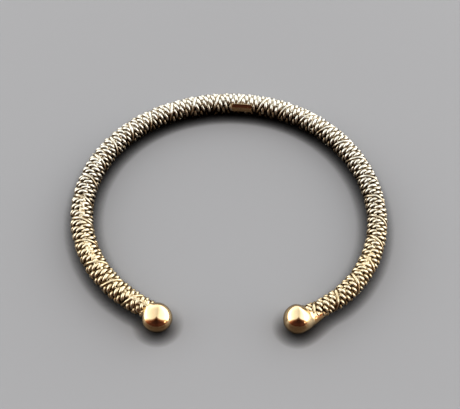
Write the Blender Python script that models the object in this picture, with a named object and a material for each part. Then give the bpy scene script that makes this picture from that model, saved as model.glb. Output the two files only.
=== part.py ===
"""Bronze bangle: an open, slightly oval hoop cast in one piece, with a ball at each end.

The rod of the hoop looks as if four wires were wound round it side by side, so its surface
is a four-start thread of rounded ridges. The balls and the short necks that carry them are
smooth, and so is a small patch on the inside of the hoop, at its back.

Metres, +Z up. The bangle lies flat with its gap towards -Y. The origin is the middle of its
footprint, on the surface that it lies on. It rests on the balls and on the back of the hoop.
"""

import math

import bmesh
import bpy
from mathutils import Matrix, Vector

MM = 0.001

# Hoop: the centreline's radius at an angle t, taken from the back (+Y) towards +X, is
# HOOP_RADIUS * (1 + sum of cosine_share * cos(n t) + sine_share * sin(n t)).
HOOP_RADIUS = 31.23 * MM
HOOP_WAVES = (
    # n, cosine share, sine share
    (1, -0.0199, 0.0026),
    (2, -0.0308, -0.0067),
    (3, 0.0099, 0.0049),
    (4, -0.0052, 0.0008),
)
LEFT_BALL_ANGLE = math.radians(-154.0)
RIGHT_BALL_ANGLE = math.radians(154.5)
# The footprint's middle, seen from the point that the angles are taken about
FOOTPRINT_X = -0.18 * MM
FOOTPRINT_Y = 0.36 * MM

# Rod: outer radius over the wires, as a mean and waves of the same kind. It is thickest on
# the left side and thins towards the balls.
ROD_RADIUS = 2.29 * MM
ROD_WAVES = (
    # n, cosine share, sine share
    (1, 0.075, -0.042),
    (2, -0.013, 0.020),
    (3, 0.007, 0.011),
)

# Winding: four wires side by side, one of them plain and the others twisted. A turn of the
# winding takes WIRE_LEAD of the rod at its middle, and a little less with every turn.
WIRES = 4
WIRE_LEAD = 5.667 * MM
WIRE_PITCH = WIRE_LEAD / WIRES
WIRE_MIDDLE = 97.96 * MM
WIRE_CLOSING = 0.0054 * MM
GROOVE_DEPTH = 0.42 * MM
PLAIN_WIRE_DROP = 0.06 * MM
SIDES = 12

# Balls, a little longer along the rod than across it
BALL_RADIUS = 2.80 * MM
BALL_LENGTH_SHARE = 1.03
BALL_SEGMENTS = 28
BALL_RINGS = 16
LEFT_BALL_OUTSET = 1.05 * MM

# Necks: smooth cones from inside the ball to inside the wound rod
NECK_BALL_RADIUS = 2.35 * MM
NECK_ROD_RADIUS = 1.55 * MM
LEFT_NECK_LENGTH = 4.6 * MM
RIGHT_NECK_LENGTH = 6.6 * MM
NECK_SEGMENTS = 20
# The wires stop short of the ball, later on the inside of the hoop than on its outside
LEFT_WIRE_END = 2.2 * MM
LEFT_WIRE_SLANT = 0.15
RIGHT_WIRE_END = 3.6 * MM
RIGHT_WIRE_SLANT = 0.55

# Smooth patch on the inside of the hoop, a sector of a round bar level with the wires
PATCH_ANGLE = math.radians(5.3)
PATCH_LENGTH = 5.0 * MM
PATCH_RADIUS = 2.42 * MM
PATCH_LOW = math.radians(-6.0)
PATCH_HIGH = math.radians(46.0)
PATCH_SEGMENTS = 36

# Small flats where the bangle rests: under the balls, and on the ridges at its back
BALL_FLAT_DEPTH = 0.10 * MM
BACK_FLAT_DEPTH = 0.05 * MM
SURFACE_BLOCK = 80.0 * MM

TRACE_STEPS = 3600
MERGE_DISTANCE = 0.00001

BRONZE = (0.62, 0.49, 0.29, 1.0)
BRONZE_ROUGHNESS = 0.28


def with_waves(mean, waves, angle):
    """A size that changes round the hoop, at an angle from the back."""
    share = 1.0
    for order, cosine_share, sine_share in waves:
        share += cosine_share * math.cos(order * angle)
        share += sine_share * math.sin(order * angle)
    return mean * share


def hoop_point(angle):
    """Point of the centreline, seen from above."""
    radius = with_waves(HOOP_RADIUS, HOOP_WAVES, angle)
    x = radius * math.sin(angle) - FOOTPRINT_X
    y = radius * math.cos(angle) - FOOTPRINT_Y
    return Vector((x, y, 0.0))


def trace_hoop():
    """Centreline from the left ball's middle to the right one's, as (arc length, point) pairs."""
    sweep = RIGHT_BALL_ANGLE - LEFT_BALL_ANGLE
    trace = []
    length = 0.0
    for step in range(TRACE_STEPS + 1):
        point = hoop_point(LEFT_BALL_ANGLE + sweep * step / TRACE_STEPS)
        if trace:
            length += (point - trace[-1][1]).length
        trace.append((length, point))
    return trace


TRACE = trace_hoop()
HOOP_LENGTH = TRACE[-1][0]
BACK_Y = max(point.y for arc, point in TRACE)
FRONT_Y = 0.5 * (TRACE[0][1].y + TRACE[-1][1].y)
BALL_HEIGHT = BALL_RADIUS - BALL_FLAT_DEPTH
BACK_HEIGHT = with_waves(ROD_RADIUS, ROD_WAVES, 0.0) - BACK_FLAT_DEPTH


def centre_height(y):
    """Height of the centreline, which leans evenly from the balls to the back."""
    share = (BACK_Y - y) / (BACK_Y - FRONT_Y)
    return BACK_HEIGHT + (BALL_HEIGHT - BACK_HEIGHT) * share


def place_on_hoop(arc):
    """Point, outward direction and travel direction of the centreline at an arc length.

    Beyond either end the line runs on straight.
    """
    share = min(max(arc / HOOP_LENGTH, 0.0), 1.0) * TRACE_STEPS
    low = min(int(share), TRACE_STEPS - 1)
    while low > 0 and TRACE[low][0] > arc:
        low -= 1
    while low < TRACE_STEPS - 1 and TRACE[low + 1][0] < arc:
        low += 1
    start_arc, start = TRACE[low]
    end_arc, end = TRACE[low + 1]
    travel = (end - start).normalized()
    point = start + travel * (arc - start_arc)
    point.z = centre_height(point.y)
    outward = Vector((-travel.y, travel.x, 0.0))
    return point, outward, travel


def hoop_angle(arc):
    """Angle from the back of the centreline point at an arc length."""
    point, outward, travel = place_on_hoop(arc)
    return math.atan2(point.x + FOOTPRINT_X, point.y + FOOTPRINT_Y)


def bend_to_hoop(bm):
    """Carries a straight bar round the hoop: X becomes outward, Y up and Z the travel."""
    for vert in bm.verts:
        point, outward, travel = place_on_hoop(vert.co.z)
        vert.co = point + outward * vert.co.x + Vector((0.0, 0.0, vert.co.y))


def winding_arc(wound):
    """Arc length on the hoop of a place on the straight winding, whose lead is even."""
    turn = wound / WIRE_LEAD
    return WIRE_MIDDLE + WIRE_LEAD * turn - WIRE_CLOSING * turn * turn


def winding_place(arc):
    """Place on the straight winding of an arc length on the hoop."""
    root = math.sqrt(WIRE_LEAD**2 - 4.0 * WIRE_CLOSING * (arc - WIRE_MIDDLE))
    return WIRE_LEAD * (WIRE_LEAD - root) / (2.0 * WIRE_CLOSING)


def cut_and_cap(bm, point, normal):
    """Cuts away what is beyond a plane and closes the cut."""
    geometry = bm.verts[:] + bm.edges[:] + bm.faces[:]
    cut = bmesh.ops.bisect_plane(
        bm, geom=geometry, dist=MERGE_DISTANCE, plane_co=point, plane_no=normal, clear_outer=True
    )
    edges = [item for item in cut["geom_cut"] if isinstance(item, bmesh.types.BMEdge)]
    bmesh.ops.edgeloop_fill(bm, edges=edges)


def finish_mesh(name, bm):
    """Makes an object of a closed bmesh, with its faces outward."""
    bmesh.ops.recalc_face_normals(bm, faces=bm.faces)
    mesh = bpy.data.meshes.new(name)
    bm.to_mesh(mesh)
    bm.free()
    return bpy.data.objects.new(name, mesh)


def make_wound_rod():
    """The rod with its four-start thread, made straight by a screw sweep and then bent."""
    bm = bmesh.new()
    left_end = winding_place(LEFT_WIRE_END)
    right_end = winding_place(HOOP_LENGTH - RIGHT_WIRE_END)
    # The plain wire crosses the top of the rod at whole turns from the middle
    first_turn = math.floor(left_end / WIRE_LEAD) - 2
    start = (first_turn + 0.25) * WIRE_LEAD - 0.5 * WIRE_PITCH
    profile = []
    for half_row in range(2 * WIRES + 1):
        radius = ROD_RADIUS
        if half_row % 2 == 0:
            radius -= GROOVE_DEPTH
        elif half_row == 1:
            radius -= PLAIN_WIRE_DROP
        profile.append(bm.verts.new((radius, 0.0, start + half_row * 0.5 * WIRE_PITCH)))
    edges = [bm.edges.new(pair) for pair in zip(profile, profile[1:])]
    turns = math.ceil(right_end / WIRE_LEAD) - first_turn + 2
    bmesh.ops.spin(
        bm,
        geom=profile + edges,
        cent=(0.0, 0.0, 0.0),
        axis=(0.0, 0.0, 1.0),
        dvec=(0.0, 0.0, WIRE_LEAD / SIDES),
        angle=-2.0 * math.pi * turns,
        steps=SIDES * turns,
    )
    bmesh.ops.remove_doubles(bm, verts=bm.verts, dist=MERGE_DISTANCE)
    cut_and_cap(bm, (0.0, 0.0, left_end), (-LEFT_WIRE_SLANT, 0.0, -1.0))
    cut_and_cap(bm, (0.0, 0.0, right_end), (RIGHT_WIRE_SLANT, 0.0, 1.0))
    for vert in bm.verts:
        arc = winding_arc(vert.co.z)
        share = with_waves(1.0, ROD_WAVES, hoop_angle(arc))
        vert.co = Vector((vert.co.x * share, vert.co.y * share, arc))
    bend_to_hoop(bm)
    return finish_mesh("bangle", bm)


def make_neck(name, ball_arc, rod_arc, ball_outset):
    """A smooth cone along the hoop, from a ball's middle to the middle of the wound rod."""
    depth = abs(rod_arc - ball_arc)
    along = rod_arc > ball_arc
    bm = bmesh.new()
    bmesh.ops.create_cone(
        bm,
        cap_ends=True,
        segments=NECK_SEGMENTS,
        radius1=NECK_BALL_RADIUS if along else NECK_ROD_RADIUS,
        radius2=NECK_ROD_RADIUS if along else NECK_BALL_RADIUS,
        depth=depth,
        matrix=Matrix.Translation((0.0, 0.0, 0.5 * (ball_arc + rod_arc))),
    )
    for vert in bm.verts:
        vert.co.x += ball_outset * abs(rod_arc - vert.co.z) / depth
    bend_to_hoop(bm)
    return finish_mesh(name, bm)


def make_ball(name, arc, outset):
    """A ball at the centreline, its poles up and down, stretched a little along the rod."""
    point, outward, travel = place_on_hoop(arc)
    point += outward * outset
    bm = bmesh.new()
    bmesh.ops.create_uvsphere(
        bm, u_segments=BALL_SEGMENTS, v_segments=BALL_RINGS, radius=BALL_RADIUS
    )
    bmesh.ops.scale(bm, vec=(1.0, BALL_LENGTH_SHARE, 1.0), verts=bm.verts)
    turn = math.atan2(travel.y, travel.x) - 0.5 * math.pi
    bmesh.ops.rotate(bm, matrix=Matrix.Rotation(turn, 3, "Z"), verts=bm.verts)
    point.z = BALL_HEIGHT
    bmesh.ops.translate(bm, vec=point, verts=bm.verts)
    return finish_mesh(name, bm)


def make_patch():
    """The smooth patch: a sector of a round bar, cut out between two planes, then bent."""
    arc = 0.0
    while hoop_angle(arc) < PATCH_ANGLE:
        arc += 0.1 * MM
    bm = bmesh.new()
    bmesh.ops.create_cone(
        bm,
        cap_ends=True,
        segments=PATCH_SEGMENTS,
        radius1=PATCH_RADIUS,
        radius2=PATCH_RADIUS,
        depth=PATCH_LENGTH,
        matrix=Matrix.Translation((0.0, 0.0, arc)),
    )
    # Angles are taken upward from the inward direction, -X of the straight bar
    low_normal = (-math.sin(PATCH_LOW), -math.cos(PATCH_LOW), 0.0)
    high_normal = (math.sin(PATCH_HIGH), math.cos(PATCH_HIGH), 0.0)
    cut_and_cap(bm, (0.0, 0.0, 0.0), low_normal)
    cut_and_cap(bm, (0.0, 0.0, 0.0), high_normal)
    bend_to_hoop(bm)
    return finish_mesh("patch", bm)


def make_surface_block():
    """A block below the resting surface, whose top cuts the flats under the balls."""
    bm = bmesh.new()
    bmesh.ops.create_cube(bm, size=SURFACE_BLOCK)
    bmesh.ops.translate(bm, vec=(0.0, 0.0, -0.5 * SURFACE_BLOCK), verts=bm.verts)
    return finish_mesh("surface_block", bm)


def bronze():
    """Polished yellow bronze."""
    material = bpy.data.materials.new("bronze")
    material.use_nodes = True
    shader = material.node_tree.nodes["Principled BSDF"]
    shader.inputs["Base Color"].default_value = BRONZE
    shader.inputs["Metallic"].default_value = 1.0
    shader.inputs["Roughness"].default_value = BRONZE_ROUGHNESS
    return material


def add_boolean(target, cutter, operation):
    """Joins or cuts the target with a shape that stays out of the finished part."""
    cutter.hide_render = True
    cutter.display_type = "WIRE"
    modifier = target.modifiers.new(cutter.name, "BOOLEAN")
    modifier.operation = operation
    modifier.solver = "EXACT"
    modifier.object = cutter


def build():
    for old in list(bpy.data.objects):
        bpy.data.objects.remove(old, do_unlink=True)
    parts = bpy.data.collections.new("bronze_bangle")
    shapes = bpy.data.collections.new("joined_shapes")
    bpy.context.scene.collection.children.link(parts)
    bpy.context.scene.collection.children.link(shapes)

    bangle = make_wound_rod()
    parts.objects.link(bangle)
    bangle.data.materials.append(bronze())

    joined = (
        make_patch(),
        make_neck("left_neck", 0.0, LEFT_NECK_LENGTH, LEFT_BALL_OUTSET),
        make_neck("right_neck", HOOP_LENGTH, HOOP_LENGTH - RIGHT_NECK_LENGTH, 0.0),
        make_ball("left_ball", 0.0, LEFT_BALL_OUTSET),
        make_ball("right_ball", HOOP_LENGTH, 0.0),
    )
    for shape in joined:
        shapes.objects.link(shape)
        add_boolean(bangle, shape, "UNION")
    surface_block = make_surface_block()
    shapes.objects.link(surface_block)
    add_boolean(bangle, surface_block, "DIFFERENCE")


build()
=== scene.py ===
"""Looks of the bronze bangle: an open hoop cast in one piece, wound with four wires side by side.

Metres, +Z up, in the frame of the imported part. The bangle lies flat with its gap towards -Y.
"""

import math
import random

import bmesh
import bpy
import numpy as np
from mathutils import Matrix, Quaternion, Vector, noise


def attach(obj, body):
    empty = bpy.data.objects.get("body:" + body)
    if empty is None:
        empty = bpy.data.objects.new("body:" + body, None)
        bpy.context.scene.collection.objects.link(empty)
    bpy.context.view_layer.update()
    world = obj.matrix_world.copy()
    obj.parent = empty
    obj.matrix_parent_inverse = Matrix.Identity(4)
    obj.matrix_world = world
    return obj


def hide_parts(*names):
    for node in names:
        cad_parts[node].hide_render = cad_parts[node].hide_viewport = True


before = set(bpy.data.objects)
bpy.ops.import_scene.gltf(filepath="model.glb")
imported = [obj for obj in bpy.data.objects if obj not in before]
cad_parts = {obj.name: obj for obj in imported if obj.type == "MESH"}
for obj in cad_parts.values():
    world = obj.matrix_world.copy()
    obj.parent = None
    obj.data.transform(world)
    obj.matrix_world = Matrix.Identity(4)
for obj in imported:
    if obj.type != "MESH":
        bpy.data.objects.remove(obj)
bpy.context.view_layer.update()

# ---------------------------------------------------------------------------------------------
# The line of the hoop. The bangle was shaped straight, wires and all, and then bent by hand
# round a mandrel, so every piece below is made straight and carried round this line. It opens
# towards -Y, is a little wider than deep, and lies on its two balls and on its back.
# ---------------------------------------------------------------------------------------------

MM = 0.001

HOOP_RADIUS = 31.23 * MM
HOOP_WAVES = (
    # n, cosine share, sine share, of the angle from the back towards +X
    (1, -0.0199, 0.0026),
    (2, -0.0308, -0.0067),
    (3, 0.0099, 0.0049),
    (4, -0.0052, 0.0008),
)
LEFT_BALL_ANGLE = math.radians(-154.0)
RIGHT_BALL_ANGLE = math.radians(154.5)
FOOTPRINT = Vector((-0.18 * MM, 0.36 * MM))
BALL_HEIGHT = 2.70 * MM
BACK_HEIGHT = 2.44 * MM
RIGHT_END_BENT_IN = 0.30 * MM
RIGHT_END_BENT_OVER = math.radians(22.0)
LINE_POINTS = 3601


def smooth_step(value):
    """0 below 0 and 1 above 1, with a smooth rise between."""
    value = np.clip(value, 0.0, 1.0)
    return value * value * (3.0 - 2.0 * value)


def with_waves(waves, angle):
    """How a size changes round the hoop, as a share of its mean."""
    share = np.ones_like(angle)
    for order, cosine_share, sine_share in waves:
        share += cosine_share * np.cos(order * angle) + sine_share * np.sin(order * angle)
    return share


line_angle = np.linspace(LEFT_BALL_ANGLE, RIGHT_BALL_ANGLE, LINE_POINTS)
line_radius = HOOP_RADIUS * with_waves(HOOP_WAVES, line_angle)
# The last of the right end is bent in a little more
line_radius -= RIGHT_END_BENT_IN * smooth_step(
    (line_angle - RIGHT_BALL_ANGLE) / RIGHT_END_BENT_OVER + 1.0
)
line_x = line_radius * np.sin(line_angle) - FOOTPRINT.x
line_y = line_radius * np.cos(line_angle) - FOOTPRINT.y
line_arc = np.concatenate(([0.0], np.cumsum(np.hypot(np.diff(line_x), np.diff(line_y)))))
line_heading = np.unwrap(np.arctan2(np.gradient(line_y), np.gradient(line_x)))
HOOP_LENGTH = float(line_arc[-1])
FRONT_Y = 0.5 * float(line_y[0] + line_y[-1])
BACK_Y = float(line_y.max())


def hoop_angle(arc):
    """Angle from the back, at a length along the line from the left ball."""
    return np.interp(arc, line_arc, line_angle)


def bend_round_hoop(points):
    """Carries straight points round the hoop: X becomes outward, Y up and Z the way along."""
    arc = points[:, 2]
    beyond = arc - np.clip(arc, 0.0, HOOP_LENGTH)
    heading = np.interp(arc, line_arc, line_heading)
    x = np.interp(arc, line_arc, line_x) + beyond * np.cos(heading)
    y = np.interp(arc, line_arc, line_y) + beyond * np.sin(heading)
    lean = (BACK_Y - y) / (BACK_Y - FRONT_Y)
    height = BACK_HEIGHT + (BALL_HEIGHT - BACK_HEIGHT) * lean
    outward = points[:, 0]
    bent = np.empty_like(points)
    bent[:, 0] = x - outward * np.sin(heading)
    bent[:, 1] = y + outward * np.cos(heading)
    # What would reach below the surface it lies on has been worn flat
    bent[:, 2] = np.maximum(height + points[:, 1], 0.0)
    return bent


# ---------------------------------------------------------------------------------------------
# The bronze. Yellow cast bronze, polished on what stands out, with a brown-black patina left in the
# grooves. Over this the wires carry painted light and shade: lighter on the outside of the back,
# yellower and lighter towards the front ends, and darker underneath. The skin of the casting is a
# group of its own, because the wound and the smooth bronze share it.
# ---------------------------------------------------------------------------------------------

BRONZE = (0.57, 0.525, 0.41, 1.0)
BRONZE_PALE = (0.74, 0.725, 0.64, 1.0)
BRONZE_DULL = (0.33, 0.24, 0.135, 1.0)
PATINA = (0.011, 0.0055, 0.0025, 1.0)
WORN_COLOURS = (
    # how far the bronze stands out of the grooves, colour
    (0.26, PATINA),
    (0.46, BRONZE_DULL),
    (0.70, BRONZE),
    (0.98, BRONZE_PALE),
)
SPOTS_SHARE = 0.14
# Painted warm reflection and painted light: towards the front ends the bronze is yellower, and
# lighter in the grooves
WARM_LIGHT_FROM_Y = 6.0 * MM
WARM_LIGHT_TO_Y = -18.0 * MM
WARM_REFLECTION_TINT = (1.05, 0.93, 0.72, 1.0)
FRONT_PAINTED_LIGHT = 0.16
GROOVE_ROUGHNESS = 0.60
WIRE_ROUGHNESS = 0.28


def new_group(name, inputs, outputs):
    """An empty shader node group, with its input and output nodes. Sockets are (name, kind)."""
    group = bpy.data.node_groups.new(name, "ShaderNodeTree")
    for socket, kind in inputs:
        group.interface.new_socket(socket, in_out="INPUT", socket_type=kind)
    for socket, kind in outputs:
        group.interface.new_socket(socket, in_out="OUTPUT", socket_type=kind)
    return group, group.nodes.new("NodeGroupInput"), group.nodes.new("NodeGroupOutput")


def add_node(tree, kind, **settings):
    """A node with its settings. Settings named after sockets with _ for a space fill those."""
    node = tree.nodes.new(kind)
    for key, value in settings.items():
        if hasattr(node, key):
            setattr(node, key, value)
        else:
            node.inputs[key.replace("_", " ")].default_value = value
    return node


def fill_ramp(node, places):
    """Fills a colour ramp from its places of (position, colour), lowest first."""
    elements = node.color_ramp.elements
    for element, (position, colour) in zip(elements, (places[0], places[-1])):
        element.position = position
        element.color = colour
    for position, colour in places[1:-1]:
        elements.new(position).color = colour


def make_casting_skin():
    """Group: the faint unevenness of a cast surface, and the scratches of its polishing."""
    group, given, result = new_group(
        "casting_skin",
        (("Grain", "NodeSocketFloat"),),
        (("Height", "NodeSocketFloat"), ("Spots", "NodeSocketFloat")),
    )
    links = group.links
    place = add_node(group, "ShaderNodeTexCoord")
    pores = add_node(group, "ShaderNodeTexNoise", Scale=1600.0, Detail=3.0, Roughness=0.6)
    scratches = add_node(group, "ShaderNodeTexNoise", Scale=900.0, Detail=2.0, Roughness=0.5)
    stretch = add_node(group, "ShaderNodeMapping")
    stretch.inputs["Rotation"].default_value = (0.4, 0.3, 0.8)
    stretch.inputs["Scale"].default_value = (1.0, 9.0, 3.0)
    spots = add_node(group, "ShaderNodeTexNoise", Scale=420.0, Detail=4.0, Roughness=0.65)
    mixed = add_node(group, "ShaderNodeMath", operation="ADD")
    scaled = add_node(group, "ShaderNodeMath", operation="MULTIPLY")
    links.new(place.outputs["Object"], pores.inputs["Vector"])
    links.new(place.outputs["Object"], spots.inputs["Vector"])
    links.new(place.outputs["Object"], stretch.inputs["Vector"])
    links.new(stretch.outputs["Vector"], scratches.inputs["Vector"])
    links.new(pores.outputs["Fac"], mixed.inputs[0])
    links.new(scratches.outputs["Fac"], mixed.inputs[1])
    links.new(mixed.outputs[0], scaled.inputs[0])
    links.new(given.outputs["Grain"], scaled.inputs[1])
    links.new(scaled.outputs[0], result.inputs["Height"])
    links.new(spots.outputs["Fac"], result.inputs["Spots"])
    return group


casting_skin = make_casting_skin()


def make_wound_bronze():
    """Bronze of the wires: bright on what stands out, dull lower down, black in the grooves, with
    painted light and shade over it: lighter on the outside of the back, yellower and lighter
    towards the front ends, darker underneath.
    """
    material = bpy.data.materials.new("wound_bronze")
    material.use_nodes = True
    tree = material.node_tree
    links = tree.links
    shader = tree.nodes["Principled BSDF"]
    shader.inputs["Specular IOR Level"].default_value = 0.07
    wear_and_shade = add_node(tree, "ShaderNodeAttribute", attribute_name="wear_and_shade")
    skin = tree.nodes.new("ShaderNodeGroup")
    skin.node_tree = casting_skin
    skin.inputs["Grain"].default_value = 1.0
    uneven = add_node(tree, "ShaderNodeMapRange")
    uneven.inputs["From Min"].default_value = 0.3
    uneven.inputs["From Max"].default_value = 0.7
    uneven.inputs["To Min"].default_value = -SPOTS_SHARE
    uneven.inputs["To Max"].default_value = SPOTS_SHARE
    height = add_node(tree, "ShaderNodeMath", operation="ADD")
    colours = add_node(tree, "ShaderNodeValToRGB")
    fill_ramp(colours, WORN_COLOURS)
    place = add_node(tree, "ShaderNodeTexCoord")
    split = add_node(tree, "ShaderNodeSeparateXYZ")
    # Painted warm reflection and painted light, growing towards the front ends
    towards_front = add_node(tree, "ShaderNodeMapRange", interpolation_type="SMOOTHSTEP")
    towards_front.inputs["From Min"].default_value = WARM_LIGHT_FROM_Y
    towards_front.inputs["From Max"].default_value = WARM_LIGHT_TO_Y
    front_lightened = add_node(tree, "ShaderNodeMath", operation="MULTIPLY_ADD")
    front_lightened.inputs[1].default_value = FRONT_PAINTED_LIGHT
    warm_tinted = add_node(tree, "ShaderNodeMix", data_type="RGBA", blend_type="MULTIPLY")
    warm_tinted.inputs["B"].default_value = WARM_REFLECTION_TINT
    links.new(place.outputs["Object"], split.inputs[0])
    links.new(split.outputs["Y"], towards_front.inputs["Value"])
    links.new(towards_front.outputs["Result"], warm_tinted.inputs["Factor"])
    links.new(towards_front.outputs["Result"], front_lightened.inputs[0])
    links.new(uneven.outputs["Result"], front_lightened.inputs[2])
    links.new(colours.outputs["Color"], warm_tinted.inputs["A"])
    roughness = add_node(tree, "ShaderNodeMapRange")
    roughness.inputs["From Min"].default_value = 0.10
    roughness.inputs["From Max"].default_value = 0.60
    roughness.inputs["To Min"].default_value = GROOVE_ROUGHNESS
    roughness.inputs["To Max"].default_value = WIRE_ROUGHNESS
    metallic = add_node(tree, "ShaderNodeMapRange")
    metallic.inputs["From Min"].default_value = 0.0
    metallic.inputs["From Max"].default_value = 0.28
    bump = add_node(tree, "ShaderNodeBump", Strength=0.25, Distance=0.00004)
    links.new(skin.outputs["Spots"], uneven.inputs["Value"])
    # The colour follows the wear with its painted light and shade, plus the painted light towards
    # the front and random spots
    links.new(wear_and_shade.outputs["Fac"], height.inputs[0])
    links.new(front_lightened.outputs[0], height.inputs[1])
    links.new(height.outputs[0], colours.inputs["Fac"])
    links.new(height.outputs[0], roughness.inputs["Value"])
    links.new(height.outputs[0], metallic.inputs["Value"])
    links.new(warm_tinted.outputs["Result"], shader.inputs["Base Color"])
    links.new(roughness.outputs["Result"], shader.inputs["Roughness"])
    links.new(metallic.outputs["Result"], shader.inputs["Metallic"])
    links.new(skin.outputs["Height"], bump.inputs["Height"])
    links.new(bump.outputs["Normal"], shader.inputs["Normal"])
    return material


wound_bronze = make_wound_bronze()

# ---------------------------------------------------------------------------------------------
# The rod: a round bronze bar, thick at the back and on the left, and thinner on the right and
# towards the balls. The wires cover it, so that only the bottom of their grooves shows.
# ---------------------------------------------------------------------------------------------

ROD_WAVES = (
    # n, cosine share, sine share
    (1, 0.075, -0.042),
    (2, -0.013, 0.020),
    (3, 0.007, 0.011),
)
WIRE_TOP = 2.36 * MM
GROOVE_BOTTOM = 1.90 * MM
ROD_SIDES = 32
ROD_STEP = 0.4 * MM
ROD_CUT = 1.0 * MM
ROD_WORN = 0.14
# The rod thins further near the balls, and later on the left
ENDS_THINNER = 0.09
ENDS_THIN_WITHIN = 5.0 * MM
ENDS_THIN_OVER = 8.0 * MM
LEFT_END_LATER = 3.0 * MM
# How the rod's colour is painted: lighter on the outside, where light falls and it is rubbed, and
# darker underneath and on the inside as painted shade. Angles go from the inside of the hoop over
# the top of the rod.
LIGHTER_FROM = math.radians(26.0)
LIGHTER_RISE = math.radians(32.0)
LIGHTER_UNTIL = math.radians(200.0)
LIGHTER_FALL = math.radians(60.0)
UNDERNEATH_FROM = math.radians(72.0)
UNDERNEATH_RISE = math.radians(34.0)
OUTSIDE_LIGHTER = 0.44
INSIDE_SHADE = 0.10
UNDERNEATH_SHADE = 0.03
UNDERNEATH_SHADE_AT_BACK = 0.28
MERGE_DISTANCE = 0.000001


def thickness(arc):
    """The rod's thickness at a length along it, as a share of the mean."""
    from_end = np.minimum(arc + LEFT_END_LATER, HOOP_LENGTH - arc)
    ends = smooth_step(1.0 - (from_end - ENDS_THIN_WITHIN) / ENDS_THIN_OVER)
    return with_waves(ROD_WAVES, hoop_angle(arc)) - ENDS_THINNER * ends


def points_of(mesh):
    """The places of a mesh's vertices, one row each."""
    flat = np.empty(3 * len(mesh.vertices), np.float32)
    mesh.vertices.foreach_get("co", flat)
    return flat.reshape(-1, 3).astype(float)


def mesh_of(name, bm):
    """Closes a bmesh as a mesh with its faces outward and smooth."""
    bmesh.ops.recalc_face_normals(bm, faces=bm.faces)
    mesh = bpy.data.meshes.new(name)
    bm.to_mesh(mesh)
    bm.free()
    mesh.shade_smooth()
    return mesh


def add_piece(name, mesh, points, wear_and_shade, material):
    """Bends a straight mesh round the hoop and makes it a piece of the bangle.

    The shares given per vertex say how far it stands out of the grooves, from 0 to 1; on the rod
    and wires they carry painted light and painted shade as well.
    """
    mesh.vertices.foreach_set("co", bend_round_hoop(points).astype(np.float32).ravel())
    mesh.attributes.new("wear_and_shade", "FLOAT", "POINT").data.foreach_set("value", wear_and_shade.astype(np.float32))
    mesh.materials.append(material)
    mesh.update()
    piece = bpy.data.objects.new(name, mesh)
    bpy.context.scene.collection.objects.link(piece)
    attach(piece, "root")
    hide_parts("bangle")
    return piece


def lengthen(bm, length, total):
    """Repeats an open bar end to end along Z, doubling it until it has the total length."""
    while length < total:
        copy = bmesh.ops.duplicate(bm, geom=bm.verts[:] + bm.edges[:] + bm.faces[:])
        verts = [item for item in copy["geom"] if isinstance(item, bmesh.types.BMVert)]
        bmesh.ops.translate(bm, vec=(0.0, 0.0, length), verts=verts)
        length += length
    bmesh.ops.remove_doubles(bm, verts=bm.verts, dist=MERGE_DISTANCE)


def trim_ends(bm, end):
    """Cuts a straight bar off square at that distance inside both balls' middles."""
    for arc, direction in ((end, -1.0), (HOOP_LENGTH - end, 1.0)):
        cut = bmesh.ops.bisect_plane(
            bm,
            geom=bm.verts[:] + bm.edges[:] + bm.faces[:],
            dist=MERGE_DISTANCE,
            plane_co=(0.0, 0.0, arc),
            plane_no=(0.0, 0.0, direction),
            clear_outer=True,
        )
        edges = [item for item in cut["geom_cut"] if isinstance(item, bmesh.types.BMEdge)]
        bmesh.ops.edgeloop_fill(bm, edges=edges)


def painted_light_and_wear(inward_up, arc):
    """How much lighter the bronze is painted: most on the outside of the back, where light falls
    and it is rubbed, and darker underneath and inside, as painted shade.
    """
    round_rod = np.where(inward_up < -0.5 * math.pi, inward_up + 2.0 * math.pi, inward_up)
    outside = smooth_step((round_rod - LIGHTER_FROM) / LIGHTER_RISE)
    outside -= smooth_step((round_rod - LIGHTER_UNTIL) / LIGHTER_FALL)
    from_top = np.abs(round_rod - 0.5 * math.pi)
    underneath = smooth_step((from_top - UNDERNEATH_FROM) / UNDERNEATH_RISE)
    at_back = 0.5 + 0.5 * np.cos(hoop_angle(arc))
    # Painted light on the outside of the back, over some wear; painted shade on the inside of the
    # back and underneath, most at the back, where it lies on the floor
    lighter = OUTSIDE_LIGHTER * at_back**2 * outside
    lighter = lighter - INSIDE_SHADE * (1.0 - outside) * at_back**6
    return lighter - (UNDERNEATH_SHADE + UNDERNEATH_SHADE_AT_BACK * at_back) * underneath


def make_rod():
    bm = bmesh.new()
    bmesh.ops.create_circle(bm, segments=ROD_SIDES, radius=GROOVE_BOTTOM)
    bmesh.ops.spin(
        bm, geom=bm.edges[:], axis=(0.0, 0.0, 1.0), dvec=(0.0, 0.0, ROD_STEP), angle=0.0, steps=1
    )
    lengthen(bm, ROD_STEP, HOOP_LENGTH)
    trim_ends(bm, ROD_CUT)
    mesh = mesh_of("rod", bm)
    points = points_of(mesh)
    points[:, :2] *= thickness(points[:, 2])[:, None]
    inward_up = np.arctan2(points[:, 1], -points[:, 0])
    # Patina share of the rod, with painted light on the outside and painted shade underneath and
    # inside
    wear_and_shade = np.clip(ROD_WORN + painted_light_and_wear(inward_up, points[:, 2]), 0.0, 1.0)
    add_piece("rod", mesh, points, wear_and_shade, wound_bronze)


make_rod()

# ---------------------------------------------------------------------------------------------
# The wires: four side by side, wound to the left round the rod, one of them plain and three
# twisted of two strands each. In the wax they were real wires; in the bronze they are one with
# the rod, and their grooves are half filled. They sink into the necks at both ends.
# ---------------------------------------------------------------------------------------------

WIRES = 4
WIRE_LEAD = 5.667 * MM
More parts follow.
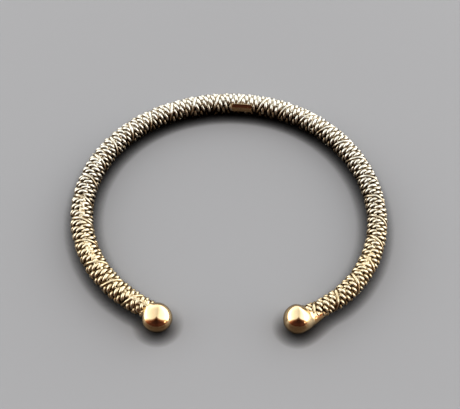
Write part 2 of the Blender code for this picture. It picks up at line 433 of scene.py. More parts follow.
# Where each wire lies across one turn: the plain one, which is narrower, and the twisted three
WIRE_PLACES = (0.0, 0.2225, 0.5, 0.7775)
WIRE_MIDDLE = 97.96 * MM
WIRE_CLOSING = 0.0054 * MM
STRAND_RADIUS = 0.32 * MM
STRAND_OFFSET = 0.37 * MM
STRAND_TOP = STRAND_OFFSET + STRAND_RADIUS
WIRE_CENTRE = WIRE_TOP - STRAND_TOP
# The twisted wires are pressed flat, so that each strand shows as a long stroke
STRANDS_THICK = 0.78
STRANDS_WIDE = 1.12
WIRE_TURN = math.hypot(WIRE_LEAD, 2.0 * math.pi * WIRE_CENTRE)
WIRE_LEAN = math.atan2(WIRE_LEAD, 2.0 * math.pi * WIRE_CENTRE)
TWISTS_PER_TURN = 4.9
STRAND_SIDES = 10
STRAND_STEPS = 14
FIRST_TURN = -18
LAST_TURN = 14
LEFT_WIRE_END = 1.1 * MM
RIGHT_WIRE_END = 0.8 * MM
WIRE_CUT = 1.2 * MM
WIRE_SINK_LENGTH = 1.2 * MM
WIRE_SINK_DEPTH = 0.55 * MM
PLAIN_HALF_WIDTH = 0.35 * MM
PLAIN_HALF_HEIGHT = 0.40 * MM
PLAIN_DROP = 0.16 * MM
PLAIN_SIDES = 12
PLAIN_STEPS = 48

PATCH_ANGLE = math.radians(5.3)
PATCH_LENGTH = 5.0 * MM
PATCH_RADIUS = 2.42 * MM
PATCH_LOW = math.radians(-6.0)
PATCH_HIGH = math.radians(46.0)
FILED_UNDER_PATCH = 0.15 * MM
PATCH_ARC = float(np.interp(PATCH_ANGLE, line_angle, line_arc))


def wander(along, wavelength, seed):
    """A smooth irregular value between about -1 and 1: three waves whose lengths never fit."""
    total = np.zeros_like(along)
    for part, stretch in enumerate((1.0, 1.618, 2.718)):
        phase = 2.399 * seed + 1.7 * part * (seed + 1)
        total += np.sin(2.0 * math.pi * along * stretch / wavelength + phase) / (1.0 + 0.6 * part)
    return total / 1.8


def wind_on_rod(points, row):
    """Winds a straight wire onto the rod, as the wire with that row number.

    X of the straight wire is off the rod, Y sideways and Z along the wire. The points come back in
    the straight rod's own X, Y and Z, together with how far they stand out, from 0 to 1, with
    painted light and painted shade added.
    """
    off, side, along = points.T
    turn = along / WIRE_TURN
    radius = WIRE_CENTRE + off
    angle = 0.5 * math.pi - 2.0 * math.pi * turn + side * math.sin(WIRE_LEAN) / WIRE_CENTRE
    wound = turn + WIRE_PLACES[row] + side * math.cos(WIRE_LEAN) / WIRE_LEAD
    arc = WIRE_MIDDLE + WIRE_LEAD * wound - WIRE_CLOSING * wound * wound
    outward = np.cos(angle)
    inward_up = np.arctan2(np.sin(angle), -np.cos(angle))

    # The wires sink into the necks only close to the balls
    sunk = smooth_step((LEFT_WIRE_END + WIRE_SINK_LENGTH - arc) / WIRE_SINK_LENGTH)
    from_right = arc - HOOP_LENGTH + RIGHT_WIRE_END + WIRE_SINK_LENGTH
    sunk += smooth_step(from_right / WIRE_SINK_LENGTH)
    radius -= WIRE_SINK_DEPTH * np.minimum(sunk, 1.0)
    # How far the wire stands out of the grooves, with painted light on the outside and painted
    # shade underneath and inside
    wear_and_shade = (radius - GROOVE_BOTTOM) / (WIRE_TOP - GROOVE_BOTTOM) + painted_light_and_wear(inward_up, arc)
    radius *= thickness(arc)

    # They are filed away under the smooth patch
    under = np.abs(arc - PATCH_ARC) < 0.5 * PATCH_LENGTH
    under &= (inward_up > PATCH_LOW) & (inward_up < PATCH_HIGH)
    radius = np.where(under, np.minimum(radius, PATCH_RADIUS - FILED_UNDER_PATCH), radius)
    placed = np.stack((radius * outward, radius * np.sin(angle), arc), axis=1)
    return placed, np.clip(wear_and_shade, 0.0, 1.0)


def add_wire(name, bm, row, shape):
    """Winds a straight wire of a bmesh on the rod, trims it and adds it to the bangle.

    shape changes the straight wire's points first, to make it as uneven as a real one.
    """
    straight = bpy.data.meshes.new(name)
    bm.to_mesh(straight)
    bm.free()
    points, wear_and_shade = wind_on_rod(shape(points_of(straight)), row)
    straight.vertices.foreach_set("co", points.astype(np.float32).ravel())
    # The shares of wear, with their painted light and shade, ride along on the mesh while the wire
    # is trimmed
    height = straight.attributes.new("height", "FLOAT", "POINT")
    height.data.foreach_set("value", wear_and_shade.astype(np.float32))
    wound = bmesh.new()
    wound.from_mesh(straight)
    bpy.data.meshes.remove(straight)
    trim_ends(wound, WIRE_CUT)
    mesh = mesh_of(name, wound)
    wear_and_shade_values = np.empty(len(mesh.vertices), np.float32)
    mesh.attributes["height"].data.foreach_get("value", wear_and_shade_values)
    mesh.attributes.remove(mesh.attributes["height"])
    return add_piece(name, mesh, points_of(mesh), wear_and_shade_values, wound_bronze)


def make_plain_wire():
    """The plain wire: one round strand, pressed a little flat."""
    bm = bmesh.new()
    step = WIRE_TURN / PLAIN_STEPS
    middle = WIRE_TOP - PLAIN_DROP - PLAIN_HALF_HEIGHT - WIRE_CENTRE
    bmesh.ops.create_circle(
        bm,
        segments=PLAIN_SIDES,
        radius=1.0,
        matrix=Matrix.Translation((middle, 0.0, FIRST_TURN * WIRE_TURN))
        @ Matrix.Diagonal((PLAIN_HALF_HEIGHT, PLAIN_HALF_WIDTH, 1.0, 1.0)),
    )
    bmesh.ops.spin(
        bm, geom=bm.edges[:], axis=(0.0, 0.0, 1.0), dvec=(0.0, 0.0, step), angle=0.0, steps=1
    )
    lengthen(bm, step, (LAST_TURN - FIRST_TURN) * WIRE_TURN)

    # It wanders a little up and sideways, and its width varies
    def shape(points):
        along = points[:, 2]
        points[:, 0] += 0.07 * MM * wander(along, 3.4 * MM, 3)
        points[:, 1] *= 1.0 + 0.14 * wander(along, 2.3 * MM, 5)
        points[:, 1] += 0.07 * MM * wander(along, 9.0 * MM, 4)
        return points

    add_wire("plain_wire", bm, 0, shape)


def make_twisted_wire(row):
    """A twisted wire: two strands twisted to the left, their round sections square to them."""
    bm = bmesh.new()
    twist_length = WIRE_TURN / TWISTS_PER_TURN
    slope = math.atan2(2.0 * math.pi * STRAND_OFFSET, twist_length)
    start = FIRST_TURN * WIRE_TURN
    for strand in (0.0, math.pi):
        section = (
            Matrix.Translation((0.0, 0.0, start))
            @ Matrix.Rotation(strand, 4, "Z")
            @ Matrix.Translation((STRAND_OFFSET, 0.0, 0.0))
            @ Matrix.Rotation(slope, 4, "X")
        )
        rim = bmesh.ops.create_circle(
            bm, segments=STRAND_SIDES, radius=STRAND_RADIUS, matrix=section
        )
        edges = {edge for vert in rim["verts"] for edge in vert.link_edges}
        bmesh.ops.spin(
            bm,
            geom=list(edges),
            cent=(0.0, 0.0, 0.0),
            axis=(0.0, 0.0, 1.0),
            dvec=(0.0, 0.0, twist_length / STRAND_STEPS),
            angle=-2.0 * math.pi,
            steps=STRAND_STEPS,
        )
    lengthen(bm, twist_length, (LAST_TURN - FIRST_TURN) * WIRE_TURN)

    # It is twisted unevenly, swells and thins, and wanders a little up and sideways
    def shape(points):
        along = points[:, 2]
        turned = 0.9 * wander(along, 17.0 * MM, 7 * row) + 2.1 * row
        swell = 1.0 + 0.09 * wander(along, 1.9 * MM, 11 * row)
        x = points[:, 0] * swell
        y = points[:, 1] * swell
        points[:, 0] = STRAND_TOP - STRANDS_THICK * (
            STRAND_TOP - x * np.cos(turned) + y * np.sin(turned)
        )
        points[:, 1] = STRANDS_WIDE * (x * np.sin(turned) + y * np.cos(turned))
        points[:, 0] += 0.03 * MM * wander(along, 4.3 * MM, row + 20)
        points[:, 1] += 0.06 * MM * wander(along, 8.0 * MM, row + 30)
        return points

    add_wire(f"twisted_wire_{row}", bm, row, shape)


make_plain_wire()
for row in range(1, WIRES):
    make_twisted_wire(row)

# ---------------------------------------------------------------------------------------------
# Faults of the casting: small beads, where air in the mould filled with bronze, lie in the
# grooves all round. A low seam runs along the top, with bronze run between the wires beside it,
# and to the right of the back two cells between the wires are run full.
# ---------------------------------------------------------------------------------------------

BEADS = 260
BEAD_RADIUS = 0.16 * MM
BEAD_SIZES = (0.6, 1.25)
BEAD_DEPTHS = (0.08, 0.34)
BEAD_SEED = 41
BEAD_WORN = 0.7
SEAM_PLACES = (
    # angle of the hoop, angle upward from the inside
    (math.radians(-150.0), math.radians(95.0)),
    (math.radians(-80.0), math.radians(76.0)),
    (math.radians(-30.0), math.radians(66.0)),
    (math.radians(30.0), math.radians(68.0)),
    (math.radians(60.0), math.radians(59.0)),
    (math.radians(100.0), math.radians(77.0)),
    (math.radians(150.0), math.radians(92.0)),
)
RUN_PLACES = (
    # angle of the hoop, half length as an angle, how full
    (math.radians(-147.0), math.radians(9.0), 1.0),
    (math.radians(-118.0), math.radians(9.0), 0.8),
    (math.radians(-96.0), math.radians(8.0), 0.8),
    (math.radians(-72.0), math.radians(6.0), 0.45),
    (math.radians(10.0), math.radians(10.0), 0.4),
    (math.radians(34.0), math.radians(10.0), 0.7),
    (math.radians(118.0), math.radians(9.0), 0.4),
)
SEAM_STEP = 0.16 * MM
SEAM_STEPS_ROUND = 14
SEAM_HALF_WIDTH = 0.85 * MM
SEAM_START = 1.5 * MM
SEAM_SHORTER = 3.5 * MM
SEAM_LINE_TOP = 2.24 * MM
SEAM_BOTTOM = 1.5 * MM
SEAM_UNDER_PATCH = 1.7 * MM
SEAM_ROUND_RADIUS = 2.1 * MM
RUN_FULL = 0.20
RUN_FULLER_ON_LEFT = 0.06
RUN_HEIGHT = 0.52 * MM
RUN_SINK = 0.10 * MM
PIT_SIZE = 0.36 * MM
PIT_DEPTH = 0.20 * MM
RUN_CELL_DEPTH = 0.5 * MM
RUN_CELL_WORN = 0.42
RUN_CELLS = (
    # angle of the hoop, angle upward from the inside, half length, half width, top
    (math.radians(36.7), math.radians(68.0), 0.50 * MM, 0.75 * MM, 2.30 * MM),
    (math.radians(39.2), math.radians(68.0), 0.58 * MM, 0.75 * MM, 2.38 * MM),
)


def make_beads():
    bm = bmesh.new()
    chance = random.Random(BEAD_SEED)
    for _ in range(BEADS):
        arc = chance.uniform(4.0 * MM, HOOP_LENGTH - 5.0 * MM)
        angle = chance.uniform(0.0, 2.0 * math.pi)
        share = float(thickness(np.array([arc]))[0])
        radius = (GROOVE_BOTTOM + chance.uniform(*BEAD_DEPTHS) * MM) * share
        centre = Vector((radius * math.cos(angle), radius * math.sin(angle), arc))
        bmesh.ops.create_icosphere(
            bm,
            subdivisions=1,
            radius=BEAD_RADIUS * chance.uniform(*BEAD_SIZES),
            matrix=Matrix.Translation(centre),
        )
    mesh = mesh_of("beads", bm)
    points = points_of(mesh)
    add_piece("beads", mesh, points, np.full(len(points), BEAD_WORN), wound_bronze)


def make_run_cells():
    bm = bmesh.new()
    for hoop, up, half_length, half_width, top in RUN_CELLS:
        arc = float(np.interp(hoop, line_angle, line_arc))
        centre = Matrix.Rotation(math.pi - up, 4, "Z")
        centre = centre @ Matrix.Translation((top - RUN_CELL_DEPTH, 0.0, arc))
        bmesh.ops.create_uvsphere(
            bm, u_segments=24, v_segments=14, radius=1.0,
            matrix=centre @ Matrix.Diagonal((RUN_CELL_DEPTH, half_width, half_length, 1.0)),
        )
    mesh = mesh_of("run_cells", bm)
    points = points_of(mesh)
    add_piece("run_cells", mesh, points, np.full(len(points), RUN_CELL_WORN), wound_bronze)


def seam_line(arc):
    """Angle upward from the inside at which the seam runs."""
    hoop, up = np.array(SEAM_PLACES).T
    return np.interp(hoop_angle(arc), hoop, up)


def make_seam():
    """Bronze run between the wires on both sides of the seam: a closed strip with a pitted top."""
    bm = bmesh.new()
    steps = int(HOOP_LENGTH / SEAM_STEP)
    bmesh.ops.create_grid(bm, x_segments=steps, y_segments=SEAM_STEPS_ROUND, size=1.0)
    under = bmesh.ops.extrude_face_region(bm, geom=bm.faces[:], use_keep_orig=True)
    verts = [item for item in under["geom"] if isinstance(item, bmesh.types.BMVert)]
    bmesh.ops.translate(bm, vec=(0.0, 0.0, -1.0), verts=verts)
    mesh = mesh_of("seam", bm)
    along, side, top = points_of(mesh).T
    arc = SEAM_START + (0.5 + 0.5 * along) * (HOOP_LENGTH - SEAM_SHORTER)
    hoop = hoop_angle(arc)
    full = RUN_FULL - RUN_FULLER_ON_LEFT * np.sin(hoop)
    for place, half, share in RUN_PLACES:
        full += share * smooth_step(1.0 - np.abs(hoop - place) / half)
    pits = np.array(
        [
            noise.noise(Vector((a / PIT_SIZE, b * SEAM_HALF_WIDTH / PIT_SIZE, 3.0)))
            for a, b in zip(arc, side)
        ]
    )
    mound = 1.0 - side * side
    radius = GROOVE_BOTTOM - RUN_SINK + RUN_HEIGHT * np.minimum(full, 1.0) * mound
    radius += PIT_DEPTH * pits * mound
    # The line of the seam itself, where it stands clear of the run bronze
    line = np.abs(side) < 1.5 / SEAM_STEPS_ROUND
    fin = SEAM_LINE_TOP + 0.05 * MM * wander(arc, 3.0 * MM, 9) - 0.5 * MM * np.minimum(full, 1.0)
    radius = np.where(line, np.maximum(radius, fin), radius)
    in_patch = np.abs(arc - PATCH_ARC) < 0.5 * PATCH_LENGTH + 0.3 * MM
    in_patch &= side > -0.5
    # Under the patch the strip is sunk in the rod, and thin
    radius = np.where(in_patch, SEAM_UNDER_PATCH, radius)
    radius = np.where(top < -0.5, SEAM_BOTTOM, radius) * thickness(arc)
    # The line itself is squeezed thin
    squeeze = np.where(np.abs(side) < 3.5 / SEAM_STEPS_ROUND, 0.45, 1.0)
    angle = math.pi - seam_line(arc) + squeeze * side * SEAM_HALF_WIDTH / SEAM_ROUND_RADIUS
    points = np.stack((radius * np.cos(angle), radius * np.sin(angle), arc), axis=1)
    # Laying the flat strip round the rod turns it inside out, so its faces are turned back
    mesh.flip_normals()
    add_piece("seam", mesh, points, np.clip(0.50 + 0.8 * pits, 0.2, 1.0), wound_bronze)


make_beads()
make_run_cells()
make_seam()

# ---------------------------------------------------------------------------------------------
# The balls: cast on the ends of the rod and filed smooth with their necks. The left one sits
# outward of the rod's line. Both are flat underneath, where the bangle has worn on its rest.
# ---------------------------------------------------------------------------------------------

LEFT_BALL_INSET = 0.25 * MM
LEFT_BALL_OUTSET = 0.88 * MM
RIGHT_BALL_INSET = 0.12 * MM
RIGHT_BALL_OUTSET = 0.46 * MM
BALL_SINK = 0.03 * MM
BALL_SEGMENTS = 72
BALL_STEPS = 40
BALL_TURN = math.radians(140.0)
NECK_STEPS = 16
NECK_SHIFT_FADES = 7.0 * MM
BROAD_DENT_SIZE = 2.2 * MM
BROAD_DENT_DEPTH = 0.05 * MM
LUMP_SIZE = 0.55 * MM
LUMPS_FROM = 2.0 * MM
LUMPS_RISE = 0.8 * MM
SMOOTH_COLOURS = (
    # where in the faint streaks, colour
    (0.30, (0.80, 0.59, 0.32, 1.0)),
    (0.70, (0.86, 0.67, 0.40, 1.0)),
)


def make_smooth_bronze():
    """Bronze of the balls, necks and patch: polished, with faint streaks and fine scratches."""
    material = bpy.data.materials.new("smooth_bronze")
    material.use_nodes = True
    tree = material.node_tree
    links = tree.links
    shader = tree.nodes["Principled BSDF"]
    shader.inputs["Metallic"].default_value = 1.0
    wear_and_shade = add_node(tree, "ShaderNodeAttribute", attribute_name="wear_and_shade")
    skin = tree.nodes.new("ShaderNodeGroup")
    skin.node_tree = casting_skin
    skin.inputs["Grain"].default_value = 0.5
    colours = add_node(tree, "ShaderNodeValToRGB")
    fill_ramp(colours, SMOOTH_COLOURS)
    soiled = add_node(tree, "ShaderNodeMix", data_type="RGBA")
    soiled.inputs["A"].default_value = PATINA
    roughness = add_node(tree, "ShaderNodeMapRange")
    roughness.inputs["From Min"].default_value = 0.30
    roughness.inputs["From Max"].default_value = 0.75
    roughness.inputs["To Min"].default_value = 0.09
    roughness.inputs["To Max"].default_value = 0.17
    bump = add_node(tree, "ShaderNodeBump", Strength=0.10, Distance=0.00002)
    links.new(skin.outputs["Spots"], colours.inputs["Fac"])
    links.new(colours.outputs["Color"], soiled.inputs["B"])
    links.new(wear_and_shade.outputs["Fac"], soiled.inputs["Factor"])
    links.new(soiled.outputs["Result"], shader.inputs["Base Color"])
    links.new(skin.outputs["Spots"], roughness.inputs["Value"])
    links.new(roughness.outputs["Result"], shader.inputs["Roughness"])
    links.new(skin.outputs["Height"], bump.inputs["Height"])
    links.new(bump.outputs["Normal"], shader.inputs["Normal"])
    return material


smooth_bronze = make_smooth_bronze()


def smooth_max(a, b, blend):
    """The larger of two values, with a fillet of that size where they meet."""
    overlap = max(blend - abs(a - b), 0.0) / blend
    return max(a, b) + 0.25 * blend * overlap * overlap


def make_ball(name, arc, way, size, outset, bend, neck, neck_length, neck_shift, fillet, lumps):
    """A ball with its neck, turned as one, bent on, and left slightly uneven.

    way is 1 where the rod leaves the ball towards longer arcs and -1 the other way. size is the
    ball's radius across the rod, upward, and along the rod. outset is how far it stands out from
    the hoop, and bend is where along the neck that ends. neck is the neck's radius at the ball's
    middle and how fast it narrows, and neck_shift is how far outward and up the neck lies.
    """
    profile = []
    across, height, far = size
    for step in range(BALL_STEPS + 1):
        turn = BALL_TURN * step / BALL_STEPS
        profile.append((-far * math.cos(turn), across * math.sin(turn)))
    neck_start = profile[-1][0]
    for step in range(1, NECK_STEPS + 1):
        u = neck_start + (neck_length - neck_start) * step / NECK_STEPS
        profile.append((u, across * math.sqrt(max(1.0 - (u / far) ** 2, 0.0))))
    bm = bmesh.new()
    verts = []
    for u, ball in profile:
        blend = fillet * min(max(u / (2.0 * MM), 0.02), 1.0)
        radius = smooth_max(ball, neck[0] - neck[1] * u, blend) if u > 0.0 else ball
        verts.append(bm.verts.new((max(radius, 0.0), 0.0, way * u)))
    verts.append(bm.verts.new((0.0, 0.0, way * neck_length)))
    edges = [bm.edges.new(pair) for pair in zip(verts, verts[1:])]
    bmesh.ops.spin(
        bm,
        geom=verts + edges,
        cent=(0.0, 0.0, 0.0),
        axis=(0.0, 0.0, 1.0),
        angle=2.0 * math.pi,
        steps=BALL_SEGMENTS,
        use_merge=True,
    )
    bmesh.ops.remove_doubles(bm, verts=bm.verts, dist=MERGE_DISTANCE)
    bmesh.ops.recalc_face_normals(bm, faces=bm.faces)
    bm.normal_update()
    for vert in bm.verts:
        u = way * vert.co.z
        seed = Vector((0.0, 0.0, 50.0 * arc / MM))
        broad = noise.noise(vert.co / BROAD_DENT_SIZE + seed)
        fine = noise.noise(vert.co / LUMP_SIZE + seed)
        melted = min(max((u - LUMPS_FROM) / LUMPS_RISE, 0.0), 1.0)
        vert.co += vert.normal * (BROAD_DENT_DEPTH * broad + lumps * melted * fine)
    mesh = mesh_of(name, bm)
    points = points_of(mesh)
    u = way * points[:, 2]
    beyond = smooth_step((u - bend[0]) / (bend[1] - bend[0]))
    on_neck = beyond * (1.0 - 0.5 * smooth_step(u / NECK_SHIFT_FADES))
    points[:, 0] += outset * (1.0 - beyond) + neck_shift.x * on_neck
    points[:, 1] *= 1.0 + (height / across - 1.0) * (1.0 - beyond)
    # Each ball sits on its neck so that it reaches the ground and is worn a little flat there
    points[:, 1] -= (BALL_HEIGHT + BALL_SINK - height) * (1.0 - beyond)
    points[:, 1] += neck_shift.y * on_neck
    points[:, 2] += arc
    return add_piece(name, mesh, points, np.ones(len(points)), smooth_bronze)


make_ball(
    "left_ball",
    arc=LEFT_BALL_INSET,
    way=1.0,
    size=(2.96 * MM, 2.64 * MM, 3.16 * MM),
    outset=LEFT_BALL_OUTSET,
    bend=(1.2 * MM, 3.6 * MM),
    neck=(1.70 * MM, 0.0),
    neck_length=3.4 * MM,
    neck_shift=Vector((0.0, 0.0)),
    fillet=0.4 * MM,
    lumps=0.10 * MM,
)
make_ball(
    "right_ball",
    arc=HOOP_LENGTH - RIGHT_BALL_INSET,
    way=-1.0,
    size=(2.92 * MM, 2.92 * MM, 2.90 * MM),
    outset=RIGHT_BALL_OUTSET,
    bend=(0.3 * MM, 3.0 * MM),
    neck=(2.50 * MM, 0.195),
    neck_length=6.4 * MM,
    neck_shift=Vector((0.62 * MM, -0.52 * MM)),
    fillet=1.0 * MM,
    lumps=0.04 * MM,
)

# ---------------------------------------------------------------------------------------------
# The smooth patch: a bare, polished field on the inside of the back, filed level with the wires
# and slightly rounded as the rod is.
# ---------------------------------------------------------------------------------------------

PATCH_STEPS_ALONG = 12
PATCH_STEPS_ROUND = 10
PATCH_BOTTOM = 1.6 * MM
PATCH_BEVEL = 0.07 * MM


def make_patch():
    bm = bmesh.new()
    depth = PATCH_RADIUS - PATCH_BOTTOM
    strip = bmesh.ops.create_grid(
        bm, x_segments=1, y_segments=PATCH_STEPS_ALONG, size=0.5,
        matrix=Matrix.Translation((-PATCH_RADIUS + 0.5 * depth, 0.0, PATCH_ARC))
        @ Matrix.Rotation(0.5 * math.pi, 4, "X")
        @ Matrix.Diagonal((depth, PATCH_LENGTH, 1.0, 1.0)),
    )
    low = Matrix.Rotation(PATCH_LOW, 3, "Z").inverted()
    bmesh.ops.rotate(bm, cent=(0.0, 0.0, 0.0), matrix=low, verts=strip["verts"])
    bmesh.ops.spin(
        bm,
        geom=bm.verts[:] + bm.edges[:] + bm.faces[:],
        cent=(0.0, 0.0, 0.0),
        axis=(0.0, 0.0, 1.0),
        angle=-(PATCH_HIGH - PATCH_LOW),
        steps=PATCH_STEPS_ROUND,
    )
    bmesh.ops.remove_doubles(bm, verts=bm.verts, dist=MERGE_DISTANCE)
    bmesh.ops.recalc_face_normals(bm, faces=bm.faces)
    sharp = [edge for edge in bm.edges if edge.is_manifold and edge.calc_face_angle() > 1.0]
    bmesh.ops.bevel(
        bm, geom=sharp, offset=PATCH_BEVEL, offset_type="OFFSET", segments=2, profile=0.5,
        affect="EDGES", material=-1,
    )
    mesh = mesh_of("smooth_patch", bm)
    points = points_of(mesh)
    add_piece("smooth_patch", mesh, points, np.ones(len(points)), smooth_bronze)


make_patch()

# ---------------------------------------------------------------------------------------------
# The room: a plain pale floor under a wide, soft sky of light from behind and above, dim on the
# side that the camera stands on. Its reflections give the polished bronze its form.
# ---------------------------------------------------------------------------------------------

SKY_STRENGTH = 3.9
DARK_SIDE_ANGLE = math.radians(1.5)
DARK_SIDE_HALF_WIDTH = math.radians(68.0)
DARK_SIDE_HEIGHT = math.radians(77.0)
DARK_SIDE_ROUNDNESS = 1.7
DARK_SIDE_COLOURS = (
    # from the middle of the dark side outward, colour
    (0.42, (0.030, 0.011, 0.008, 1.0)),
    (0.55, (0.100, 0.032, 0.018, 1.0)),
    (0.60, (0.20, 0.10, 0.06, 1.0)),
    (0.66, (0.44, 0.35, 0.28, 1.0)),
    (0.76, (0.97, 0.985, 1.0, 1.0)),
)
SKY_BY_SIDE = (
    # 0 on the left and 1 on the right, how bright
    (0.0, 0.95),
    (0.20, 0.68),
    (0.40, 0.52),
    (0.48, 0.46),
    (0.52, 0.42),
    (0.56, 0.48),
    (0.62, 0.66),
    (0.80, 0.90),
    (1.0, 1.0),
)
SKY_BY_HEIGHT = (
    # 0 at the horizon and 1 overhead, how bright
    (0.0, 0.45),
    (0.06, 0.88),
    (0.16, 1.0),
    (0.35, 0.95),
    (0.55, 0.70),
    (0.80, 0.58),
    (1.0, 0.60),
)
HORIZON_HEIGHT = 0.12
HORIZON_TINT = (1.0, 0.78, 0.58, 1.0)
SKY_SEEN = (0.13, 0.13, 0.132, 1.0)
FLOOR_SEEN = (0.31, 0.31, 0.314, 1.0)
FLOOR_MIRRORED = (0.062, 0.046, 0.035, 1.0)
FLOOR_HALF_SIZE = 6.0
FLOOR_ROUGHNESS = 0.40
FLOOR_GLOSS_SEEN = 0.1
FLOOR_GLOSS_MIRRORED = 0.6
# A painted contact shadow on the floor: how far it reaches and how deep it is
PAINTED_SHADOW_DISTANCE = 3.0 * MM
PAINTED_SHADOW_DEPTH = 2.3


def make_floor():
    bm = bmesh.new()
    bmesh.ops.create_grid(bm, x_segments=1, y_segments=1, size=FLOOR_HALF_SIZE)
    mesh = bpy.data.meshes.new("floor")
    bm.to_mesh(mesh)
    bm.free()
    floor = bpy.data.objects.new("floor", mesh)
    bpy.context.scene.collection.objects.link(floor)
    material = bpy.data.materials.new("pale_floor")
    material.use_nodes = True
    tree = material.node_tree
    shader = tree.nodes["Principled BSDF"]
    shader.inputs["Roughness"].default_value = FLOOR_ROUGHNESS
    # The camera sees it pale and dull, but the bronze mirrors a darker and glossier ground, which
    # gives it its shade. Both carry a painted contact shadow: their colour and gloss are darkened
    # close to the bangle.
    lean = add_node(tree, "ShaderNodeCombineXYZ", Y=0.6, Z=0.8)
    painted_shadow = add_node(tree, "ShaderNodeAmbientOcclusion", Distance=PAINTED_SHADOW_DISTANCE, samples=8)
    tree.links.new(lean.outputs[0], painted_shadow.inputs["Normal"])
    painted_shadow_share = add_node(tree, "ShaderNodeMath", operation="POWER")
    painted_shadow_share.inputs[1].default_value = PAINTED_SHADOW_DEPTH
    gloss = add_node(tree, "ShaderNodeMapRange")
    gloss.inputs["To Min"].default_value = FLOOR_GLOSS_MIRRORED
    gloss.inputs["To Max"].default_value = FLOOR_GLOSS_SEEN
    shine = add_node(tree, "ShaderNodeMath", operation="MULTIPLY")
    shaded = add_node(tree, "ShaderNodeVectorMath", operation="SCALE")
    path = tree.nodes.new("ShaderNodeLightPath")
    ground = add_node(tree, "ShaderNodeMix", data_type="RGBA")
    ground.inputs["A"].default_value = FLOOR_MIRRORED
    ground.inputs["B"].default_value = FLOOR_SEEN
    tree.links.new(path.outputs["Is Camera Ray"], ground.inputs["Factor"])
    tree.links.new(painted_shadow.outputs["AO"], painted_shadow_share.inputs[0])
    tree.links.new(ground.outputs["Result"], shaded.inputs[0])
    tree.links.new(painted_shadow_share.outputs[0], shaded.inputs["Scale"])
    tree.links.new(shaded.outputs[0], shader.inputs["Base Color"])
    tree.links.new(path.outputs["Is Camera Ray"], gloss.inputs["Value"])
    tree.links.new(gloss.outputs["Result"], shine.inputs[0])
    tree.links.new(painted_shadow_share.outputs[0], shine.inputs[1])
    tree.links.new(shine.outputs[0], shader.inputs["Specular IOR Level"])
    mesh.materials.append(material)


def add_curve(tree, value, places):
    """A smooth curve of a value from 0 to 1, through places of (value, share)."""
    node = tree.nodes.new("ShaderNodeFloatCurve")
    curve = node.mapping.curves[0]
    curve.points[0].location = places[0]
    curve.points[1].location = places[-1]
    for place in places[1:-1]:
        curve.points.new(*place)
    node.mapping.update()
    tree.links.new(value, node.inputs["Value"])
    return node.outputs["Value"]


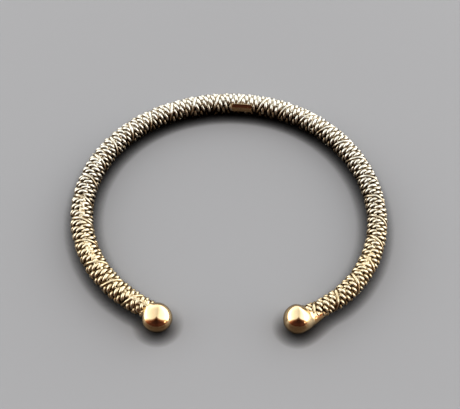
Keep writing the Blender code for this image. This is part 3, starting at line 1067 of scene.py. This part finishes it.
def make_sky():
    """The sky: how bright it is by direction. The front is a dark block with soft sides."""
    world = bpy.data.worlds.new("studio")
    bpy.context.scene.world = world
    world.use_nodes = True
    tree = world.node_tree
    links = tree.links
    light = tree.nodes["Background"]
    light.inputs["Strength"].default_value = SKY_STRENGTH
    direction = add_node(tree, "ShaderNodeTexCoord")
    split = add_node(tree, "ShaderNodeSeparateXYZ")
    links.new(direction.outputs["Generated"], split.inputs[0])

    def step(operation, first, second=None):
        node = add_node(tree, "ShaderNodeMath", operation=operation)
        for socket, value in zip(node.inputs, (first, second)):
            if isinstance(value, float):
                socket.default_value = value
            elif value is not None:
                links.new(value, socket)
        return node.outputs[0]

    forward = step("MULTIPLY", split.outputs["Y"], -1.0)
    sideways = step("ARCTAN2", split.outputs["X"], forward)
    sideways = step("SUBTRACT", sideways, DARK_SIDE_ANGLE)
    sideways = step("DIVIDE", step("ABSOLUTE", sideways), DARK_SIDE_HALF_WIDTH)
    upward = step("DIVIDE", step("ARCSINE", split.outputs["Z"]), DARK_SIDE_HEIGHT)
    upward = step("POWER", step("MAXIMUM", upward, 0.0), DARK_SIDE_ROUNDNESS)
    block = step("ADD", sideways, upward)
    ramp = add_node(tree, "ShaderNodeValToRGB")
    fill_ramp(ramp, DARK_SIDE_COLOURS)
    links.new(step("MULTIPLY", block, 0.6), ramp.inputs["Fac"])

    # It is brightest low on both sides, and a dimmer strip runs over the middle
    across = step("MULTIPLY", step("ADD", split.outputs["X"], 1.0), 0.5)
    by_side = add_curve(tree, across, SKY_BY_SIDE)
    by_height = add_curve(tree, split.outputs["Z"], SKY_BY_HEIGHT)
    # Right at the horizon it is brown
    clear = add_node(tree, "ShaderNodeMapRange")
    clear.inputs["From Max"].default_value = HORIZON_HEIGHT
    tinted = add_node(tree, "ShaderNodeMix", data_type="RGBA", blend_type="MULTIPLY")
    tinted.inputs["B"].default_value = HORIZON_TINT
    dimmed = add_node(tree, "ShaderNodeVectorMath", operation="SCALE")
    links.new(split.outputs["Z"], clear.inputs["Value"])
    links.new(step("SUBTRACT", 1.0, clear.outputs["Result"]), tinted.inputs["Factor"])
    links.new(ramp.outputs["Color"], tinted.inputs["A"])
    links.new(tinted.outputs["Result"], dimmed.inputs[0])
    links.new(step("MULTIPLY", by_side, by_height), dimmed.inputs["Scale"])
    # Seen past the end of the floor it is a plain pale backdrop
    path = tree.nodes.new("ShaderNodeLightPath")
    seen = add_node(tree, "ShaderNodeMix", data_type="RGBA")
    seen.inputs["B"].default_value = SKY_SEEN
    links.new(path.outputs["Is Camera Ray"], seen.inputs["Factor"])
    links.new(dimmed.outputs[0], seen.inputs["A"])
    links.new(seen.outputs["Result"], light.inputs["Color"])


def add_light(name, place, target, size, power, colour):
    """A square soft light at a place, turned to a target."""
    data = bpy.data.lights.new(name, "AREA")
    data.shape = "SQUARE"
    data.size = size
    data.energy = power
    data.color = colour
    light = bpy.data.objects.new(name, data)
    light.location = place
    light.rotation_mode = "QUATERNION"
    light.rotation_quaternion = (Vector(target) - Vector(place)).to_track_quat("-Z", "Y")
    bpy.context.scene.collection.objects.link(light)


make_floor()
make_sky()
# A small warm lamp, low on the right
add_light(
    "lamp",
    place=(0.33, -0.245, 0.12),
    target=(0.0, 0.0, 0.0),
    size=0.07,
    power=0.05,
    colour=(1.0, 0.85, 0.6),
)

# ---------------------------------------------------------------------------------------------
# The camera looks down on the lying bangle from the side of its gap, at a little more than
# half a right angle, and is turned very slightly.
# ---------------------------------------------------------------------------------------------

CAMERA_ELEVATION = math.radians(54.1)
CAMERA_DISTANCE = 161.81 * MM
CAMERA_ROLL = -0.01345
CAMERA_LENS = 56.63
CAMERA_SENSOR = 36.0
CAMERA_NEAREST = 10.0 * MM
CAMERA_TARGET = Vector((0.2446 * MM, 0.741 * MM, 0.0))


def make_camera():
    forward = Vector((0.0, math.cos(CAMERA_ELEVATION), -math.sin(CAMERA_ELEVATION)))
    data = bpy.data.cameras.new("camera")
    data.sensor_width = CAMERA_SENSOR
    data.lens = CAMERA_LENS
    data.clip_start = CAMERA_NEAREST
    camera = bpy.data.objects.new("camera", data)
    camera.location = CAMERA_TARGET - forward * CAMERA_DISTANCE
    camera.rotation_mode = "QUATERNION"
    level = forward.to_track_quat("-Z", "Y")
    camera.rotation_quaternion = Quaternion(forward, CAMERA_ROLL) @ level
    bpy.context.scene.collection.objects.link(camera)
    bpy.context.scene.camera = camera


make_camera()
bpy.context.scene.view_settings.view_transform = "Standard"
